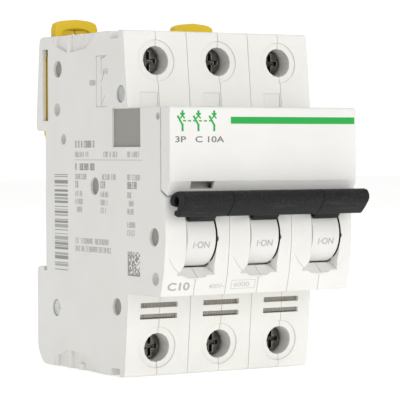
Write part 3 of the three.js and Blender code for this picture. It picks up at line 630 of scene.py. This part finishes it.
def markSide():
    # on this face X runs towards the front, which is -Y
    face = onFace((leftFace, 0, 0), (0, -1, 0), (0, 0, 1))
    chance = random.Random(sideMarks["seed"])
    heavy, light = bmesh.new(), bmesh.new()
    for column, bottom, letters, isHeading in sidePrint:
        left = -sideMarks["columns"][column]
        height = sideMarks["heading"] if isHeading else sideMarks["line"]
        smallPrint(heavy if isHeading else light, chance, left, bottom, letters, height)
    near, far, level = sideMarks["ruled"]
    stroke(light, (-near, level), (-far, level), sideMarks["rule"])
    near, bottom, top = sideMarks["symbol"]
    left = -near
    sketchWiring(light, left, bottom, top)
    smallPrint(light, chance, left - 3.6, (bottom + top) / 2 - 0.9, 4, sideMarks["line"])
    smallPrint(light, chance, left + 3.4, top - 4.6, 4, sideMarks["line"])
    printed("sideHeadings", heavy, face, "middle")
    printed("sideLines", light, face, "pale")
    near, far, bottom, top = sideMarks["bars"]
    dark, mid = bmesh.new(), bmesh.new()
    level = bottom
    while level < top - 0.6:
        width = chance.choice(sideMarks["barWidths"])
        patch(dark if chance.random() < sideMarks["darkShare"] else mid, -near, level, -far, level + width)
        level += width + chance.choice(sideMarks["barGaps"])
    printed("sideBarsDark", dark, face, "middle")
    printed("sideBarsMid", mid, face, "pale")
    near, bottom, side, cells = sideMarks["matrix"]
    cell = side / cells
    dots = bmesh.new()
    for row in range(cells):
        for column in range(cells):
            if column == 0 or row == 0 or chance.random() < sideMarks["dotShare"]:
                left = -near + column * cell
                under = bottom + row * cell
                dot = cell * sideMarks["dotSize"]
                patch(dots, left, under, left + dot, under + dot)
    printed("sideMatrix", dots, face, "middle")


markSide()
print("side marks printed")


hollows = {
    # y, z, radius
    "flat": [(-6.9, 33.5, 2.2), (-26.3, 3.7, 2.25), (-55.6, -8.1, 2.25), (-37.4, -25.8, 2.2)],
    "dished": [(-6.5, 23.1, 1.7), (-9.9, 15.5, 1.4), (-56.2, -18.1, 1.6), (-57.5, 20.7, 0.9)],
    "depth": 0.7,
    "floor": 0.03,  # how thick the painted shade on the floor of each flat hole is
    "clear": 0.06,  # left free around a flat floor, around a dish and under a dish
    "dishClear": 0.02,
    "dishLift": 0.05,
    "seat": (-49.15, -35.45, 13.45, 22.75, 0.55),  # accessory seat: from y, to y, bottom, top, depth
}


def dish(radius, depth, rings=5):
    # a bowl that is level at its middle
    shape = bmesh.new()
    levels = []
    for k in range(rings, 0, -1):
        share = k / rings
        level = -depth * (1 - share ** 2) - hollows["dishClear"]
        levels.append([shape.verts.new((u * mm, v * mm, level * mm)) for u, v in ring(radius * share)])
    for outer, inner in zip(levels, levels[1:]):
        for k in range(ringSides):
            after = (k + 1) % ringSides
            shape.faces.new((outer[k], outer[after], inner[after], inner[k]))
    shape.faces.new(levels[-1])
    data = bpy.data.meshes.new("dish")
    shape.to_mesh(data)
    shape.free()
    data.polygons.foreach_set("use_smooth", [True] * len(data.polygons))
    return data


def fillHollows():
    faces = {"Left": (onFace((leftFace, 0, 0), (0, -1, 0), (0, 0, 1)), -1),
             "Right": (onFace((rightFace, 0, 0), (0, 1, 0), (0, 0, 1)), 1)}
    depth, floor = hollows["depth"], hollows["floor"]
    for word, (face, way) in faces.items():
        shape = bmesh.new()
        # painted shade: grey floors in the flat holes and, on the left, in the accessory seat
        for y, z, radius in hollows["flat"]:
            outline = ring(radius - hollows["clear"], centre=(way * y, z))
            slab(shape, outline, -depth, floor - depth)
        if word == "Left":
            back, front, bottom, top, seatDepth = hollows["seat"]
            patch(shape, -front, bottom, -back, top, -seatDepth, floor - seatDepth)
        printed(f"hollowFloors{word}", shape, face, "recessShade")
        # painted shade: each dish takes the darker copy of the case plastic
        for k, (y, z, radius) in enumerate(hollows["dished"]):
            where = face @ Matrix.Translation((way * y * mm, z * mm, 0))
            bowl = dish(radius - hollows["dishClear"], depth - hollows["dishLift"])
            place(f"dish{word}{k + 1}", bowl, where, dishShadePlastic, "case_plastic")


fillHollows()
print("hollows finished")


cheekGapShade = {"setback": 4.4, "inner": 5.7, "outer": 7.18, "fromAngle": -57, "toAngle": 48, "steps": 24}


def buildCheekGapShades():
    # painted shade: a dark strip on the cheek at the right of each drum, for the shadowed gap beside it
    centre = (-toggleAxis.y / mm, toggleAxis.z / mm)
    sweep = cheekGapShade["toAngle"] - cheekGapShade["fromAngle"]
    for pole in poles:
        shape = bmesh.new()
        inner, outer = [], []
        for k in range(cheekGapShade["steps"] + 1):
            angle = math.radians(cheekGapShade["fromAngle"] + sweep * k / cheekGapShade["steps"])
            way = Vector((math.cos(angle), math.sin(angle)))
            inner.append(Vector(centre) + way * cheekGapShade["inner"])
            outer.append(Vector(centre) + way * cheekGapShade["outer"])
        slab(shape, inner + list(reversed(outer)))
        wall = onFace((poleMiddles[pole] + cheekGapShade["setback"] * mm, 0, 0), (0, -1, 0), (0, 0, 1))
        printed(f"cheekSeal{pole}", shape, wall, "gapShade", "dark_plastic")


buildCheekGapShades()


shutter = {"aboveCover": 1.1, "thick": 0.25, "behindFlag": 0.3}


def buildShutter():
    # grey plate behind the trip flag, seen through the cover's window
    low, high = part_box("trip_flag")
    shape = bmesh.new()
    bottom = coverLow.z / mm + shutter["aboveCover"]
    patch(shape, low.x / mm, bottom, high.x / mm, low.z / mm, 0, shutter["thick"])
    plane = onFace((0, high.y + shutter["behindFlag"] * mm, 0), (1, 0, 0), (0, 0, 1))
    printed("windowShutter", shape, plane, "shutter")


buildShutter()


ventBaffle = {
    "front": -41.45,  # y of the sheet's front, within the thickness of the wall that the vents pierce
    "middle": -25.9,
    "half": (5.6, 2.7),
    "thick": 0.35,
    "rib": 0.16,
    "ribs": 14,
}


def buildVentBaffles():
    # ribbed fibre sheet behind the vents of each pole
    width, height = ventBaffle["half"]
    front = onFace((0, ventBaffle["front"] * mm, ventBaffle["middle"] * mm), (1, 0, 0), (0, 0, 1))
    for pole in poles:
        shape = bmesh.new()
        patch(shape, -width, -height, width, height, -ventBaffle["thick"], 0)
        step = 2 * width / ventBaffle["ribs"]
        for k in range(ventBaffle["ribs"]):
            start = -width + (k + 0.3) * step
            patch(shape, start, -height + 0.1, start + 0.4 * step, height - 0.1, 0, ventBaffle["rib"])
        where = Matrix.Translation((poleMiddles[pole], 0, 0)) @ front
        printed(f"ventBaffle{pole}", shape, where, "taupe", "fibre_board")


buildVentBaffles()


# sides around the wire, steps along each turn, and the wire's share of the pitch
coilWire = {"turns": 5, "around": 20, "along": 36, "slack": 0.93}


def buildCoils():
    # a wound wire in place of each ribbed tube
    upward = Vector((0, 0, 1))
    for pole in poles:
        low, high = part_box(f"pole{pole}_coil")
        centre = (low + high) / 2
        outer = (high.x - low.x) / 2
        rise = (high.z - low.z) / (coilWire["turns"] + 1)
        wire = rise / 2 * coilWire["slack"]
        shape = bmesh.new()
        loops = []
        count = coilWire["turns"] * coilWire["along"]
        for k in range(count + 1):
            turn = 2 * math.pi * k / coilWire["along"]
            outward = Vector((math.cos(turn), math.sin(turn), 0))
            core = centre + outward * (outer - wire)
            core.z = low.z + wire + (high.z - low.z - 2 * wire) * k / count
            loop = []
            for j in range(coilWire["around"]):
                swing = 2 * math.pi * j / coilWire["around"]
                offset = outward * math.cos(swing) + upward * math.sin(swing)
                loop.append(shape.verts.new(core + offset * wire))
            loops.append(loop)
        for first, second in zip(loops, loops[1:]):
            for j in range(coilWire["around"]):
                after = (j + 1) % coilWire["around"]
                shape.faces.new((first[j], first[after], second[after], second[j]))
        shape.faces.new(list(reversed(loops[0])))
        shape.faces.new(loops[-1])
        data = bpy.data.meshes.new(f"coilWire{pole}")
        bmesh.ops.recalc_face_normals(shape, faces=shape.faces)
        shape.to_mesh(data)
        shape.free()
        data.polygons.foreach_set("use_smooth", [True] * len(data.polygons))
        coil = place(f"coilWire{pole}", data, Matrix(), finishes["copper"], "copper")
        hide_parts(f"pole{pole}_coil")


buildCoils()
print("coils wound")


view = {
    "place": (-0.278545, -0.48480, 0.01278),
    "yaw": 31.64,
    "pitch": -1.392,
    "roll": -0.2236,
    "lens": 188.19,
    "sensor": 36,
    "near": 0.01,
    "far": 20,
}


def setCamera():
    data = bpy.data.cameras.new("camera")
    data.lens = view["lens"]
    data.sensor_width = view["sensor"]
    data.clip_start = view["near"]
    data.clip_end = view["far"]
    camera = bpy.data.objects.new("camera", data)
    bpy.context.scene.collection.objects.link(camera)
    yaw, pitch, roll = (math.radians(view[key]) for key in ("yaw", "pitch", "roll"))
    forward = Vector((math.sin(yaw) * math.cos(pitch), math.cos(yaw) * math.cos(pitch), math.sin(pitch)))
    right = Vector((math.cos(yaw), -math.sin(yaw), 0))
    up = right.cross(forward)
    tiltedRight = right * math.cos(roll) + up * math.sin(roll)
    tiltedUp = up * math.cos(roll) - right * math.sin(roll)
    turn = Matrix((tiltedRight, tiltedUp, -forward)).transposed().to_4x4()
    camera.matrix_world = Matrix.Translation(Vector(view["place"])) @ turn
    bpy.context.scene.camera = camera


lamps = {
    # name: (place, size, power, colour)
    "frontLamp": ((0.02, -1.00, 0.20), 0.7, 4.0, (1, 0.993, 0.98)),
    "topLamp": ((0.0, -0.10, 0.90), 0.8, 2.0, (1, 1, 1)),
}
# the sky is brighter behind the breaker, by "behind" at the end of "rise"
sky = {"around": 0.55, "behind": 0.51, "behindWay": (0.525, 0.851, 0.0), "rise": (0.2, 0.9)}


def setLight():
    world = bpy.data.worlds.new("studio")
    world.use_nodes = True
    maker = NodeMaker(world.node_tree)
    background = world.node_tree.nodes["Background"]
    way = maker.node("ShaderNodeTexCoord", {}, {}, "Generated")
    dot = {"operation": "DOT_PRODUCT"}
    facing = maker.node("ShaderNodeVectorMath", dot, {0: way, 1: sky["behindWay"]}, "Value")
    strength = maker.ramp(facing, *sky["rise"], sky["around"], sky["around"] + sky["behind"])
    maker.feed(background.inputs["Color"], (1, 1, 1, 1))
    maker.feed(background.inputs["Strength"], strength)
    bpy.context.scene.world = world
    bpy.context.scene.view_settings.view_transform = "Standard"
    for name, (place, size, power, colour) in lamps.items():
        data = bpy.data.lights.new(name, "AREA")
        data.size = size
        data.energy = power
        data.color = colour
        lamp = bpy.data.objects.new(name, data)
        lamp.location = place
        lamp.rotation_mode = "QUATERNION"
        lamp.rotation_quaternion = (-Vector(place)).to_track_quat("-Z", "Y")
        bpy.context.scene.collection.objects.link(lamp)


paper = {
    "half": 3,
    "under": 0.0002,  # how far below the breaker it lies
    "cloud": 0.25,
    "tones": ((0.93, 0.93, 0.925), (0.95, 0.95, 0.945)),
    "glow": 0.38,
}


def setFloor():
    finish = Finish("studioFloor")
    dull, bright = (rgb(*tone) for tone in paper["tones"])
    toned = finish.mix(finish.noise(paper["cloud"], 2), dull, bright)
    sheet = finish.set(colour=toned, roughness=0.9, specular=0.1, glow=toned, glowPower=paper["glow"])
    data = bpy.data.meshes.new("floor")
    half = paper["half"]
    low = bodyLow - paper["under"]
    corners = [(-half, -half, low), (half, -half, low), (half, half, low), (-half, half, low)]
    data.from_pydata(corners, [], [(0, 1, 2, 3)])
    floor = bpy.data.objects.new("floor", data)
    floor.data.materials.append(sheet)
    bpy.context.scene.collection.objects.link(floor)


setCamera()
setLight()
setFloor()
print("studio set")
